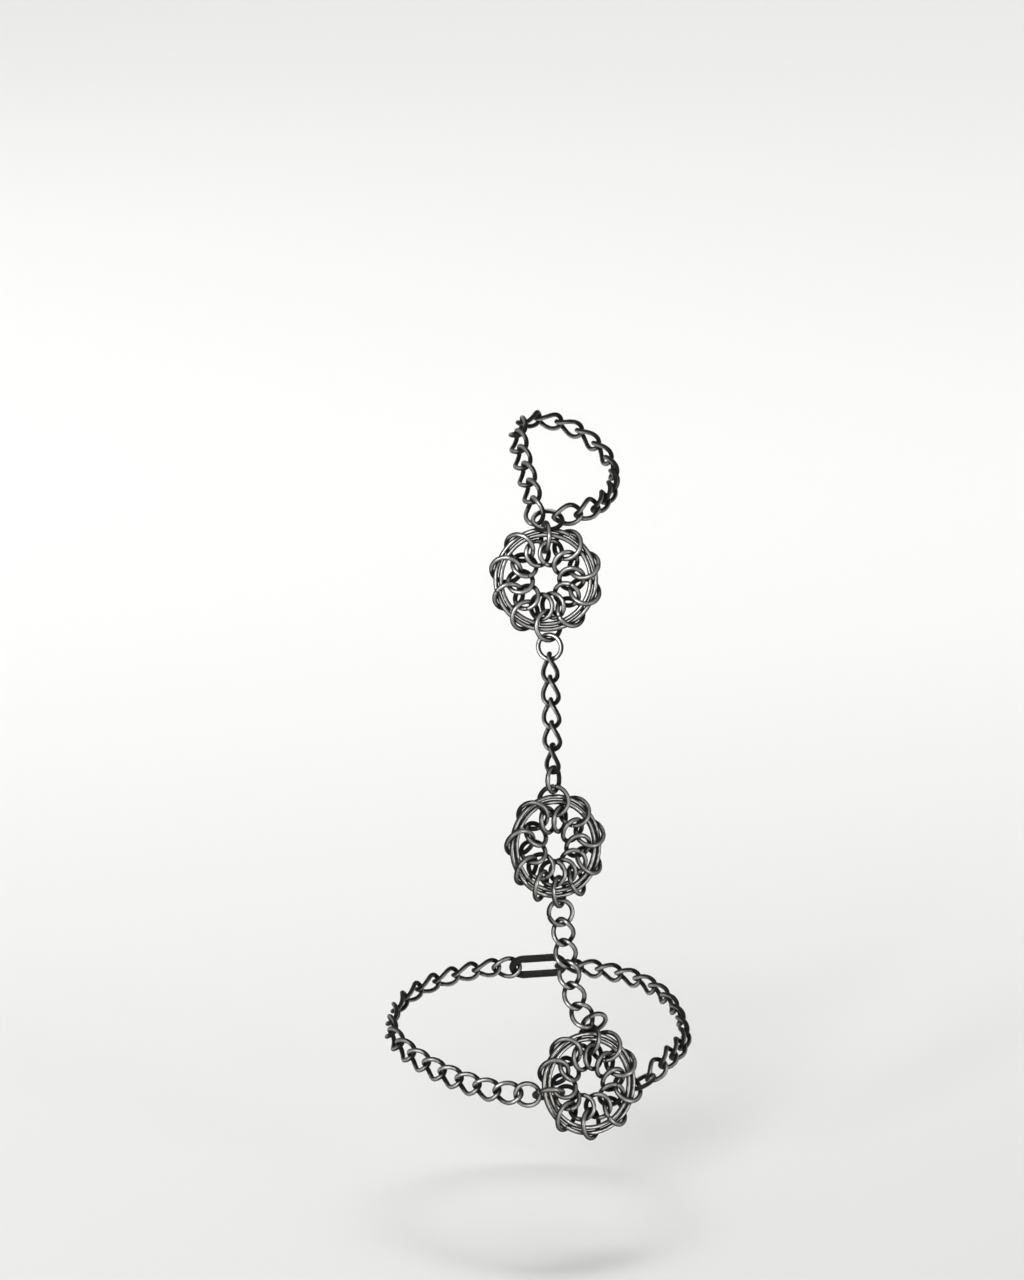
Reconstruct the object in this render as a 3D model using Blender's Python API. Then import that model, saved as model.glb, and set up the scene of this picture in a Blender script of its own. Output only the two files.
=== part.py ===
"""Hand chain bracelet: three rosettes of woven rings on curb chain, with a finger loop and a wrist loop.

Run it with blender --background --python part.py, or from Blender's text editor.
Lengths are in metres. +Z runs up the hand, +X to its right, and -Y out of its back.
The origin is the middle of the wrist loop, where the wrist goes through.
"""

import math

import bmesh
import bpy
import numpy as np
from mathutils import Matrix, Vector

COLLECTION = "hand_chain_bracelet"

# Wire: every ring and link is bent from it
WIRE = 0.00085
WIRE_SIDES = 5
CLEARANCE = 0.00006  # the air left between two wires that rest on each other

# Round rings, by their inside diameters
WRAP_BORE = 0.0043
CENTRE_BORE = 0.0035
JUMP_BORE = 0.0035
HOOP_BORE = 0.01489
HOOP_GAP = 0.0001  # between the two hoops of a rosette
RING_SIDES = 10
HOOP_SIDES = 22
RING_LEAN = 55
CENTRE_LEAN = 66

# Curb chain: a link's inside length is the chain's pitch
LINK_PITCH = 0.00408
LINK_WIDTH = 0.0044
LINK_TWIST = -42
LINK_SIDES = 10

# Wires that are joined into one body: how deep they bite into each other, and how near to that is enough
FUSE_DEPTH = 0.0002
FUSE_SLACK = 0.00005

# Clasp: a plain long loop at the back of the wrist, which the photograph hides
CLASP_LENGTH = 0.0110
CLASP_WIDTH = 0.0056
CLASP_WIRE = 0.0014
CLASP_SLACK = 0.0003  # how far an end link stays off the clasp's end
CLASP_AT = (0.0, 0.0218, 0.0043)
CLASP_END_SIDES = 7
CLASP_WIRE_SIDES = 6

# How the free rings are settled against each other
SETTLE_ROUNDS = 500
SETTLE_SPEED = 1.2
SAMPLES_PER_SIDE = 4
HOOP_SAMPLES_PER_SIDE = 6

# The rosettes: each one's middle, how far its face leans back and how far it is turned to the right.
# A wrap ring's row gives the angle of its middle round the rosette, anticlockwise from the right, how
# far it is pulled out of the weave by what hangs on it, and its lean. Angles are in degrees.
ROSETTES = {
    "top": {
        "middle": (0.0010, -0.0010, 0.0865),
        "lean": 15,
        "turn": 0,
        "wraps": (
            (89, 0.0004, 0),
            (130, 0, RING_LEAN),
            (167, 0, RING_LEAN),
            (205, 0, RING_LEAN),
            (241, 0, RING_LEAN),
            (273, 0.0009, RING_LEAN),
            (307, 0, RING_LEAN),
            (343, 0, RING_LEAN),
            (380, 0, RING_LEAN),
            (417, 0, RING_LEAN),
        ),
    },
    "middle": {
        "middle": (0.0028, -0.0100, 0.0398),
        "lean": 18,
        "turn": 28,
        "wraps": (
            (92, 0.0009, 72),
            (131, 0, RING_LEAN),
            (177, 0, RING_LEAN),
            (216, 0, RING_LEAN),
            (248, 0, RING_LEAN),
            (275, 0.0007, RING_LEAN),
            (303, 0, RING_LEAN),
            (338, 0, RING_LEAN),
            (378, 0, RING_LEAN),
            (417, 0, RING_LEAN),
        ),
    },
    "bottom": {
        "middle": (0.0088, -0.0185, -0.0021),
        "lean": 20,
        "turn": 24,
        "wraps": (
            (86, 0.0004, 0),
            (130, 0, RING_LEAN),
            (162, 0, RING_LEAN),
            (192, 0.0014, 20),
            (234, 0, RING_LEAN),
            (274, 0, RING_LEAN),
            (313, 0, RING_LEAN),
            (354, 0.0005, RING_LEAN),
            (390, 0, RING_LEAN),
            (424, 0, RING_LEAN),
        ),
    },
}

# The jump rings that hang in a rosette's wrap ring: the rosette and the wrap ring's row in its table,
# then the pull's slant round the rosette, its bend away from the face, and the ring's roll about it
JUMP_RINGS = {
    "top_lower_jump_ring": ("top", 5, 0, 0, 25),
    "middle_upper_jump_ring": ("middle", 0, 0, 0, -10),
    "middle_lower_jump_ring": ("middle", 5, 0, 0, 0),
    "bottom_upper_jump_ring": ("bottom", 0, 0, -30, 15),
    "left_wrist_jump_ring": ("bottom", 3, 0, 35, -14),
    "right_wrist_jump_ring": ("bottom", 7, 28, 25, 84),
}

# The ring that joins the finger loop to the top rosette: its middle, the way that it faces, and a way
# along it
FINGER_RING_AT = (0.0013, 0.0024, 0.0965)
FINGER_RING_FACES = (-0.26, -0.20, 0.96)
FINGER_RING_ALONG = (1, 0, 0.28)

# The chains, along points chosen on the photograph's strands. One that names a jump ring starts or ends
# in that ring. A chain's flat side faces away from the point given, and is rolled by so many degrees
# from there. Its first or last link can be rolled by so many more.
CHAINS = {
    "finger_chain": {
        "points": (
            (-0.0007, 0.0029, 0.0957),
            (-0.0010, 0.0050, 0.0985),
            (-0.0022, 0.0099, 0.1019),
            (-0.0034, 0.0150, 0.1053),
            (-0.0040, 0.0198, 0.1080),
            (-0.0022, 0.0245, 0.1093),
            (0.0028, 0.0266, 0.1084),
            (0.0084, 0.0255, 0.1060),
            (0.0127, 0.0212, 0.1023),
            (0.0134, 0.0162, 0.0998),
            (0.0119, 0.0108, 0.0983),
            (0.0092, 0.0060, 0.0976),
            (0.0062, 0.0042, 0.0971),
            (0.0024, 0.0038, 0.0967),
        ),
        "faces_from": (0.0045, 0.0180, 0.1000),
        "roll": 0,
    },
    "upper_hand_chain": {
        "starts": "top_lower_jump_ring",
        "points": (),
        "ends": "middle_upper_jump_ring",
        "faces_from": (0.0020, 0.0500, 0.0600),
        "roll": 50,
    },
    "lower_hand_chain": {
        "starts": "middle_lower_jump_ring",
        "points": (
            (0.0046, -0.0138, 0.0210),
            (0.0059, -0.0153, 0.0140),
            (0.0073, -0.0158, 0.0105),
            (0.0088, -0.0163, 0.0078),
        ),
        "faces_from": (0.0040, 0.0500, 0.0100),
        "roll": 0,
    },
    "left_wrist_chain": {
        "starts": "left_wrist_jump_ring",
        "points": (
            (-0.0093, -0.0194, -0.0029),
            (-0.0127, -0.0172, -0.0028),
            (-0.0186, -0.0122, -0.0023),
            (-0.0244, -0.0058, -0.0011),
            (-0.0272, 0.0012, 0.0002),
            (-0.0252, 0.0105, 0.0020),
            (-0.0188, 0.0170, 0.0033),
            (-0.0102, 0.0209, 0.0041),
        ),
        "ends": "wrist_clasp",
        "faces_from": (0, 0, -0.0060),
        "roll": 0,
        "last_roll": -35,
    },
    "right_wrist_chain": {
        "starts": "wrist_clasp",
        "points": (
            (0.0102, 0.0209, 0.0041),
            (0.0188, 0.0170, 0.0033),
            (0.0243, 0.0100, 0.0020),
            (0.0268, 0.0005, -0.0004),
            (0.0250, -0.0054, -0.0012),
            (0.0221, -0.0103, -0.0016),
        ),
        "ends": "right_wrist_jump_ring",
        "faces_from": (0, 0, -0.0060),
        "roll": 0,
        "first_roll": 35,
    },
}

STEEL = (0.52, 0.51, 0.49, 1.0)
STEEL_ROUGHNESS = 0.28

WRAP_RADIUS = (WRAP_BORE + WIRE) / 2
CENTRE_RADIUS = (CENTRE_BORE + WIRE) / 2
JUMP_RADIUS = (JUMP_BORE + WIRE) / 2
INNER_HOOP_RADIUS = (HOOP_BORE + WIRE) / 2
OUTER_HOOP_RADIUS = INNER_HOOP_RADIUS + WIRE + HOOP_GAP
SPACING = WIRE + CLEARANCE
FUSED_SPACING = WIRE - FUSE_DEPTH
LINK_REACH = (LINK_PITCH + WIRE) / 2
WRAP_MIDDLE = OUTER_HOOP_RADIUS + SPACING - WRAP_RADIUS
CENTRE_SHIFT = 0.0002  # how far a centre ring starts outside the middle of the two wrap rings' ends


class Loop:
    """A closed wire: its centre line about its own middle, its turn, its place and whether it can settle."""

    def __init__(self, line, turn, place, free=True, parts=SAMPLES_PER_SIDE, wire=WIRE):
        self.line = np.array(line, float)
        self.wire = wire
        self.turn = np.array(turn, float)
        self.place = np.array(place, float)
        self.free = free
        self.samples = split_sides(self.line, parts)
        self.reach = np.linalg.norm(self.line, axis=1).max()

    def sampled(self):
        return self.samples @ self.turn.T + self.place

    def matrix(self):
        return Matrix.Translation(self.place) @ Matrix(self.turn.tolist()).to_4x4()


def split_sides(line, parts):
    """Points along a closed line's sides, with this many to a side."""
    shares = np.arange(parts)[None, :, None] / parts
    ends = np.roll(line, -1, axis=0)
    return (line[:, None] * (1 - shares) + ends[:, None] * shares).reshape(-1, 3)


def circle(radius, sides):
    """A ring's centre line, its corners a little outside the circle that its sides average."""
    radius = radius * (math.pi / sides) / math.sin(math.pi / sides)
    angles = np.arange(sides) * 2 * math.pi / sides
    return np.stack([radius * np.cos(angles), radius * np.sin(angles), 0 * angles], axis=1)


def curb_line():
    """A curb link's centre line: a long oval along X, twisted about X so that links lie flat in a row."""
    angles = np.arange(LINK_SIDES) * 2 * math.pi / LINK_SIDES
    across = (LINK_WIDTH - WIRE) / 2 * np.sin(angles)
    twist = math.radians(LINK_TWIST) * np.cos(angles)
    return np.stack(
        [LINK_REACH * np.cos(angles), across * np.cos(twist), across * np.sin(twist)], axis=1
    )


def oval(length, width, end_sides):
    """A long loop with half-round ends along X, from the outside sizes of its centre line."""
    radius = width / 2
    angles = (np.arange(end_sides + 1) / end_sides - 0.5) * math.pi
    end = np.stack([radius * np.cos(angles), radius * np.sin(angles), 0 * angles], axis=1)
    right = end + [length / 2 - radius, 0, 0]
    return np.vstack([right, right * [-1, -1, 1]])


def axes(along, out):
    """A turn whose X is along and whose Z is as near to out as it can be."""
    along = np.array(along, float) / np.linalg.norm(along)
    out = np.array(out, float) - along * np.dot(out, along)
    out /= np.linalg.norm(out)
    return np.stack([along, np.cross(out, along), out], axis=1)


def rolled(turn, degrees):
    """The same turn, rolled about its own X."""
    angle = math.radians(degrees)
    about_x = [[1, 0, 0], [0, math.cos(angle), -math.sin(angle)], [0, math.sin(angle), math.cos(angle)]]
    return turn @ np.array(about_x)


def rosette_turn(rosette):
    """Columns to the right of the rosette's face, up it and out of it."""
    lean, turn = math.radians(rosette["lean"]), math.radians(rosette["turn"])
    up = np.array([0, math.sin(lean), math.cos(lean)])
    back = np.array([0, math.cos(lean), -math.sin(lean)])
    right = np.array([math.cos(turn), 0, 0]) + math.sin(turn) * back
    return np.stack([right, up, np.cross(right, up)], axis=1)


def ring_in_rosette(rosette, line, degrees, distance, lean):
    """A ring whose plane holds the rosette's radius at this angle and leans from the face's normal."""
    face, angle, tilt = rosette_turn(rosette), math.radians(degrees), math.radians(lean)
    outwards = face @ np.array([math.cos(angle), math.sin(angle), 0])
    onwards = face @ np.array([-math.sin(angle), math.cos(angle), 0])
    across = math.cos(tilt) * face[:, 2] + math.sin(tilt) * onwards
    turn = np.stack([outwards, across, np.cross(outwards, across)], axis=1)
    return Loop(line, turn, np.array(rosette["middle"]) + distance * outwards)


def rosette_loops(name, rosette):
    """The rosette's two hoops, its wrap rings round them, and the centre rings that link the wrap rings."""
    loops = {}
    face = rosette_turn(rosette)
    for side, radius in (("outer", OUTER_HOOP_RADIUS), ("inner", INNER_HOOP_RADIUS)):
        line = circle(radius, HOOP_SIDES)
        hoop = Loop(line, face, rosette["middle"], False, HOOP_SAMPLES_PER_SIDE)
        loops[f"{name}_{side}_hoop"] = hoop
    wraps = rosette["wraps"]
    for number, (degrees, pull, lean) in enumerate(wraps):
        line = circle(WRAP_RADIUS, RING_SIDES)
        wrap = ring_in_rosette(rosette, line, degrees, WRAP_MIDDLE + pull, -lean)
        loops[f"{name}_wrap_ring_{number + 1:02d}"] = wrap
        following, next_pull, _ = wraps[(number + 1) % len(wraps)]
        ends = [
            (WRAP_MIDDLE + out - WRAP_RADIUS) * np.exp(1j * math.radians(angle))
            for angle, out in ((degrees, pull), (following, next_pull))
        ]
        middle = (ends[0] + ends[1]) / 2
        distance = abs(middle) + CENTRE_SHIFT
        line = circle(CENTRE_RADIUS, RING_SIDES)
        centre = ring_in_rosette(rosette, line, math.degrees(np.angle(middle)), distance, CENTRE_LEAN)
        loops[f"{name}_centre_ring_{number + 1:02d}"] = centre
    return loops


def hung_ring(name):
    """A jump ring held by a rosette's wrap ring."""
    rosette_name, row, slant, bend, roll = JUMP_RINGS[name]
    rosette = ROSETTES[rosette_name]
    degrees, pull, _ = rosette["wraps"][row]
    face = rosette_turn(rosette)
    outwards, slanted = (
        face @ np.array([math.cos(math.radians(angle)), math.sin(math.radians(angle)), 0])
        for angle in (degrees, degrees + slant)
    )
    pulled = math.cos(math.radians(bend)) * slanted - math.sin(math.radians(bend)) * face[:, 2]
    held_at = WRAP_MIDDLE + pull + WRAP_RADIUS - SPACING
    place = rosette["middle"] + held_at * outwards + JUMP_RADIUS * pulled
    return Loop(circle(JUMP_RADIUS, RING_SIDES), rolled(axes(pulled, face[:, 2]), roll), place)


def smooth_route(points, steps=24):
    """Points along a smooth curve through the chosen ones."""
    points = np.array(points, float)
    ends = np.vstack([2 * points[0] - points[1], points, 2 * points[-1] - points[-2]])
    curve = []
    for a, b, c, d in zip(ends, ends[1:], ends[2:], ends[3:]):
        for t in np.arange(steps) / steps:
            curve.append(
                ((2 * b) + (c - a) * t + (2 * a - 5 * b + 4 * c - d) * t**2 + (3 * b - a - 3 * c + d) * t**3) / 2
            )
    return np.array(curve + [points[-1]])


def chain_links(route, chain):
    """Links in a row along a route, each with its flat side facing away from the chain's given point."""
    curve = smooth_route(route)
    lengths = np.concatenate([[0], np.cumsum(np.linalg.norm(np.diff(curve, axis=0), axis=1))])
    count = max(2, round((lengths[-1] - WIRE) / LINK_PITCH))
    pitch = (lengths[-1] - WIRE) / count
    stretch = (pitch + WIRE) / 2 / LINK_REACH
    line = curb_line() * [stretch, 1, 1]
    links = []
    for number in range(count):
        middle = stretch * LINK_REACH + number * pitch
        ends = [
            np.array([np.interp(middle + step, lengths, curve[:, axis]) for axis in range(3)])
            for step in (-pitch / 2, pitch / 2)
        ]
        place = (ends[0] + ends[1]) / 2
        roll = chain["roll"] + (
            chain.get("first_roll", 0) * (number == 0) + chain.get("last_roll", 0) * (number == count - 1)
        )
        turn = rolled(axes(ends[1] - ends[0], place - chain["faces_from"]), roll)
        links.append(Loop(line, turn, place, number in (0, count - 1)))
    return links


def hooked(ring, towards):
    """Where a link's end sits inside the ring when it pulls towards the given point."""
    pull = np.array(towards) - ring.place
    reach = ring.reach - (ring.wire + WIRE) / 2 - CLEARANCE
    if ring.wire > WIRE:
        pull *= [1, 0, 0]
        reach -= CLASP_SLACK
    return ring.place + reach * pull / np.linalg.norm(pull)


def chain_route(chain, loops):
    """The chain's points, with those where its end links hook into rings."""
    points = list(chain["points"])
    starts, ends = loops.get(chain.get("starts")), loops.get(chain.get("ends"))
    first = points[0] if points else ends.place
    last = points[-1] if points else starts.place
    if starts:
        points.insert(0, hooked(starts, first))
    if ends:
        points.append(hooked(ends, last))
    return points


def all_loops():
    """Every closed wire by name, and each chain's links as a list."""
    loops, chains = {}, {}
    for name, rosette in ROSETTES.items():
        loops.update(rosette_loops(name, rosette))
    for name in JUMP_RINGS:
        loops[name] = hung_ring(name)
    turn = axes(FINGER_RING_ALONG, FINGER_RING_FACES)
    loops["finger_ring"] = Loop(circle(WRAP_RADIUS, RING_SIDES), turn, FINGER_RING_AT)
    line = oval(CLASP_LENGTH - CLASP_WIRE, CLASP_WIDTH - CLASP_WIRE, CLASP_END_SIDES)
    turn = axes((1, 0, 0), np.array(CLASP_AT) - CHAINS["left_wrist_chain"]["faces_from"])
    loops["wrist_clasp"] = Loop(line, turn, CLASP_AT, True, 2 * SAMPLES_PER_SIDE, CLASP_WIRE)
    for name, chain in CHAINS.items():
        chains[name] = chain_links(chain_route(chain, loops), chain)
    return loops, chains


def near_pairs(loops):
    """Index pairs of loops close enough to touch, of which at least one can move."""
    pairs = []
    for first in range(len(loops)):
        for second in range(first + 1, len(loops)):
            a, b = loops[first], loops[second]
            apart = np.linalg.norm(a.place - b.place)
            if (a.free or b.free) and apart < a.reach + b.reach + 3 * WIRE:
                pairs.append((first, second))
    return pairs


def nearest_points(first, second):
    """The closest samples of each pair of sampled loops, as two arrays of points."""
    middle = first.mean(axis=1, keepdims=True)
    a, b = first - middle, second - middle
    squares = (a**2).sum(2)[:, :, None] + (b**2).sum(2)[:, None] - 2 * a @ b.transpose(0, 2, 1)
    chosen = squares.reshape(len(a), -1).argmin(1)
    rows = np.arange(len(a))
    return first[rows, chosen // b.shape[1]], second[rows, chosen % b.shape[1]]


def settle(loops, fused):
    """Pushes the free rings apart until no wire is nearer than its spacing, as woven rings find their places.

    Pairs of fused loops are drawn to the distance at which their wires overlap.
    """
    pairs = near_pairs(loops)
    batches = {}
    for pair in pairs:
        batches.setdefault(tuple(len(loops[i].samples) for i in pair), []).append(pair)
    batches = [np.array(batch) for batch in batches.values()]
    fusing = [np.array([tuple(pair) in fused for pair in batch.tolist()]) for batch in batches]
    wires = np.array([loop.wire for loop in loops])
    free = np.array([loop.free for loop in loops], float)
    radii = np.array([loop.reach for loop in loops])
    for _ in range(SETTLE_ROUNDS):
        places = np.array([loop.place for loop in loops])
        sampled = [loop.sampled() for loop in loops]
        moves, spins, contacts = np.zeros((3, len(loops), 3))
        for batch, fuse in zip(batches, fusing):
            want = np.where(fuse, FUSED_SPACING, wires[batch].mean(axis=1) + CLEARANCE)
            near_a, near_b = nearest_points(
                np.array([sampled[i] for i in batch[:, 0]]), np.array([sampled[i] for i in batch[:, 1]])
            )
            apart = near_a - near_b
            distance = np.linalg.norm(apart, axis=1)
            short = want - distance
            short[(short < 0) & ~fuse] = 0
            short[(short > 0) & (short < FUSE_SLACK) & fuse] = 0
            push = apart / distance[:, None]
            arms = [near - places[batch[:, k]] for k, near in enumerate((near_a, near_b))]
            levers = [np.cross(arm, push) for arm in arms]
            ease = sum(
                free[batch[:, k]] * (1 + 2 * (levers[k] ** 2).sum(1) / radii[batch[:, k]] ** 2) for k in (0, 1)
            )
            size = (short / ease)[:, None]
            for k, sign in ((0, 1), (1, -1)):
                index = batch[:, k]
                np.add.at(moves, index, sign * size * push)
                np.add.at(spins, index, sign * size * 2 * levers[k] / radii[index][:, None] ** 2)
                np.add.at(contacts, index, (short != 0)[:, None].astype(float))
        share = SETTLE_SPEED / np.maximum(contacts, 1)
        for loop, move, spin in zip(loops, moves * share, spins * share):
            if loop.free:
                loop.place = loop.place + move
                angle = np.linalg.norm(spin)
                if angle > 0:
                    turn = Matrix.Rotation(angle, 3, Vector(spin / angle))
                    loop.turn = np.array(turn) @ loop.turn


def settled_loops():
    """Every loop and chain where it comes to rest, with the rows of loops that are fused into one body."""
    loops, chains = all_loops()
    rows = [
        [loops[f"{name}_centre_ring_{number + 1:02d}"] for number in range(len(rosette["wraps"]))]
        for name, rosette in ROSETTES.items()
    ]
    pairs = [pair for row in rows for pair in zip(row, row[1:] + row[:1])]
    pairs += [pair for links in chains.values() for pair in (links[:2], links[-2:])]
    order = list(loops.values()) + [link for links in chains.values() for link in links]
    number = {id(loop): index for index, loop in enumerate(order)}
    settle(order, {tuple(sorted(number[id(loop)] for loop in pair)) for pair in pairs})
    return loops, chains


def finish(obj, collection, colour=STEEL, roughness=STEEL_ROUGHNESS):
    """Gives the object its own material, smooth faces and its place in the collection."""
    material = bpy.data.materials.new(f"{obj.name}_metal")
    material.use_nodes = True
    shader = material.node_tree.nodes["Principled BSDF"]
    shader.inputs["Base Color"].default_value = colour
    shader.inputs["Metallic"].default_value = 1
    shader.inputs["Roughness"].default_value = roughness
    obj.data.materials.clear()
    obj.data.materials.append(material)
    obj.data.shade_smooth()
    for holder in list(obj.users_collection):
        holder.objects.unlink(obj)
    collection.objects.link(obj)
    return obj


def torus(name, loop, sides):
    bpy.ops.mesh.primitive_torus_add(
        major_segments=sides, minor_segments=WIRE_SIDES, major_radius=loop.reach, minor_radius=WIRE / 2
    )
    ring = bpy.context.object
    ring.name = name
    ring.matrix_world = loop.matrix()
    return ring


def wire_profile(wire, sides, guides):
    """The round section that a bent wire is swept from."""
    curve = bpy.data.curves.new("wire_section", "CURVE")
    spline = curve.splines.new("POLY")
    spline.points.add(sides - 1)
    for point, place in zip(spline.points, circle(wire / 2, sides)):
        point.co = (*place, 1)
    spline.use_cyclic_u = True
    profile = bpy.data.objects.new("wire_section", curve)
    profile.hide_render = True
    profile.display_type = "WIRE"
    guides.objects.link(profile)
    return profile


def bent_wire(name, line, profile):
    """A closed wire swept along its centre line, as a mesh object."""
    curve = bpy.data.curves.new(name, "CURVE")
    curve.dimensions = "3D"
    curve.bevel_mode = "OBJECT"
    curve.bevel_object = profile
    spline = curve.splines.new("POLY")
    spline.points.add(len(line) - 1)
    for point, place in zip(spline.points, line):
        point.co = (*place, 1)
    spline.use_cyclic_u = True
    bent = bpy.data.objects.new(name, curve)
    bpy.context.scene.collection.objects.link(bent)
    bpy.context.view_layer.update()
    mesh = bpy.data.meshes.new_from_object(bent.evaluated_get(bpy.context.evaluated_depsgraph_get()))
    bpy.data.objects.remove(bent)
    made = bmesh.new()
    made.from_mesh(mesh)
    bmesh.ops.remove_doubles(made, verts=made.verts, dist=1e-7)
    bmesh.ops.recalc_face_normals(made, faces=made.faces)
    made.to_mesh(mesh)
    made.free()
    return mesh


def joined_mesh(name, pieces):
    """One mesh of (mesh, matrix) pieces that don't touch each other."""
    made = bmesh.new()
    for mesh, matrix in pieces:
        before = len(made.verts)
        made.from_mesh(mesh)
        made.verts.ensure_lookup_table()
        bmesh.ops.transform(made, matrix=matrix, verts=made.verts[before:])
    joined = bpy.data.meshes.new(name)
    made.to_mesh(joined)
    made.free()
    return joined


def placed(name, mesh):
    """The mesh as an object in the scene, under exactly this name."""
    obj = bpy.data.objects.new(name, mesh)
    obj.name = name
    bpy.context.scene.collection.objects.link(obj)
    return obj


def without_pockets(mesh):
    """The same mesh less the tiny pockets that two crossing wires can seal between their corners."""
    made = bmesh.new()
    made.from_mesh(mesh)
    left = set(made.faces)
    while left:
        shell, edge_faces = set(), [next(iter(left))]
        while edge_faces:
            face = edge_faces.pop()
            if face not in shell:
                shell.add(face)
                edge_faces += [other for edge in face.edges for other in edge.link_faces]
        left -= shell
        volume = sum(face.calc_area() * face.normal.dot(face.calc_center_median()) for face in shell)
        if volume < 0:
            bmesh.ops.delete(made, geom=list(shell), context="FACES")
    made.to_mesh(mesh)
    made.free()
    return mesh


def fused_row(name, pieces):
    """One body from a row of pieces, each of which overlaps the next: every second piece is fused to the rest."""
    halves = [placed(f"{name}_half", joined_mesh(name, pieces[start::2])) for start in (0, 1)]
    union = halves[0].modifiers.new("fuse", "BOOLEAN")
    union.operation = "UNION"
    union.solver = "EXACT"
    union.object = halves[1]
    bpy.context.view_layer.update()
    mesh = bpy.data.meshes.new_from_object(halves[0].evaluated_get(bpy.context.evaluated_depsgraph_get()))
    for half in halves:
        bpy.data.objects.remove(half)
    return placed(name, without_pockets(mesh))


def new_collection(name):
    collection = bpy.data.collections.new(name)
    bpy.context.scene.collection.children.link(collection)
    return collection


def main():
    for obj in list(bpy.data.objects):
        bpy.data.objects.remove(obj, do_unlink=True)
    collection, guides = new_collection(COLLECTION), new_collection("guides")
    guides.hide_render = True
    loops, chains = settled_loops()

    centre_rings = {name: [] for name in ROSETTES}
    for name, loop in loops.items():
        if "_centre_ring_" in name:
            centre_rings[name.split("_")[0]].append(loop)
        elif name == "wrist_clasp":
            mesh = bent_wire(name, loop.line, wire_profile(CLASP_WIRE, CLASP_WIRE_SIDES, guides))
            finish(placed(name, joined_mesh(name, [(mesh, loop.matrix())])), collection)
        elif name.endswith("_hoop"):
            finish(torus(name, loop, HOOP_SIDES), collection)
        else:
            finish(torus(name, loop, RING_SIDES), collection)
    for name, rings in centre_rings.items():
        ring = torus("centre_ring", rings[0], RING_SIDES)
        mesh = ring.data
        bpy.data.objects.remove(ring)
        pieces = [(mesh, loop.matrix()) for loop in rings]
        finish(fused_row(f"{name}_centre_rings", pieces), collection)
    profile = wire_profile(WIRE, WIRE_SIDES, guides)
    for name, links in chains.items():
        mesh = bent_wire(f"{name}_link", links[0].line, profile)
        pieces = [(mesh, link.matrix()) for link in links]
        finish(fused_row(name, pieces), collection)


if __name__ == "__main__":
    main()
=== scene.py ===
"""Hand chain bracelet in antiqued steel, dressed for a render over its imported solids.

Three rosettes of woven rings hang on curb chain, from a loop round the middle finger to a loop round the
wrist. Lengths are in metres. +Z runs up the hand, +X to its right, and -Y out of its back.
"""

import functools
import math

import bpy
import numpy as np
from bpy.props import FloatProperty, FloatVectorProperty, IntProperty, PointerProperty
from mathutils import Matrix, Vector


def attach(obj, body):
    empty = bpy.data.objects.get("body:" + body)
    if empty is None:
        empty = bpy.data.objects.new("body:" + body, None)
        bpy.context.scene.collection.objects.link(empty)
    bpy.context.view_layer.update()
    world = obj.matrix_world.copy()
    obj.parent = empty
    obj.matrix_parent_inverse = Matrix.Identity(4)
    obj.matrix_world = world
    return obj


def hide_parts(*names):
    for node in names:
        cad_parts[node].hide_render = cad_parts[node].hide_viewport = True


bl_info = {
    "name": "Hand chain bracelet",
    "version": (1, 0, 0),
    "blender": (4, 5, 0),
    "location": "3D View > Sidebar > Hand chain",
    "description": "Makes a worn hand chain: woven rosettes, curb chains and their antiqued steel",
    "category": "Object",
}

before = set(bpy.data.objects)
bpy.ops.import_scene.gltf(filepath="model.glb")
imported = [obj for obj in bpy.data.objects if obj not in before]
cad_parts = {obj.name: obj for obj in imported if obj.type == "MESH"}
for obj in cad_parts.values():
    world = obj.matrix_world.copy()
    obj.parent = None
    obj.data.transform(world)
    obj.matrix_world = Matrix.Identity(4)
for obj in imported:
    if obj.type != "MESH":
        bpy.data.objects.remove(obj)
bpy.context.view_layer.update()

# Wire, and the round rings bent from it, by their inside diameters
WIRE = 0.00085
CLEARANCE = 0.00006
WRAP_BORE = 0.0043
CENTRE_BORE = 0.0035
JUMP_BORE = 0.0035
HOOP_BORE = 0.01489
HOOP_GAP = 0.0001
RING_SIDES = 10
HOOP_SIDES = 22
RING_LEAN = 55
CENTRE_LEAN = 66
CENTRE_SHIFT = 0.0002

# Curb chain: a link's inside length is the chain's pitch
LINK_PITCH = 0.00408
LINK_WIDTH = 0.0044
LINK_TWIST = -42
LINK_SIDES = 10
FUSE_DEPTH = 0.0002
FUSE_SLACK = 0.00005

# Clasp: a plain long loop at the back of the wrist, which the photograph hides
CLASP_LENGTH = 0.0110
CLASP_WIDTH = 0.0056
CLASP_WIRE = 0.0014
CLASP_SLACK = 0.0003
CLASP_AT = (0.0, 0.0218, 0.0043)
CLASP_END_SIDES = 7

# How the free rings are settled against each other: first with the solids' few-sided wires, so that each
# ring lies where its solid does, and then with round ones
SETTLE_ROUNDS = 500
SETTLE_SPEED = 1.2
SAMPLES_PER_SIDE = 4
HOOP_SAMPLES_PER_SIDE = 6
EASE_ROUNDS = 120

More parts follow.
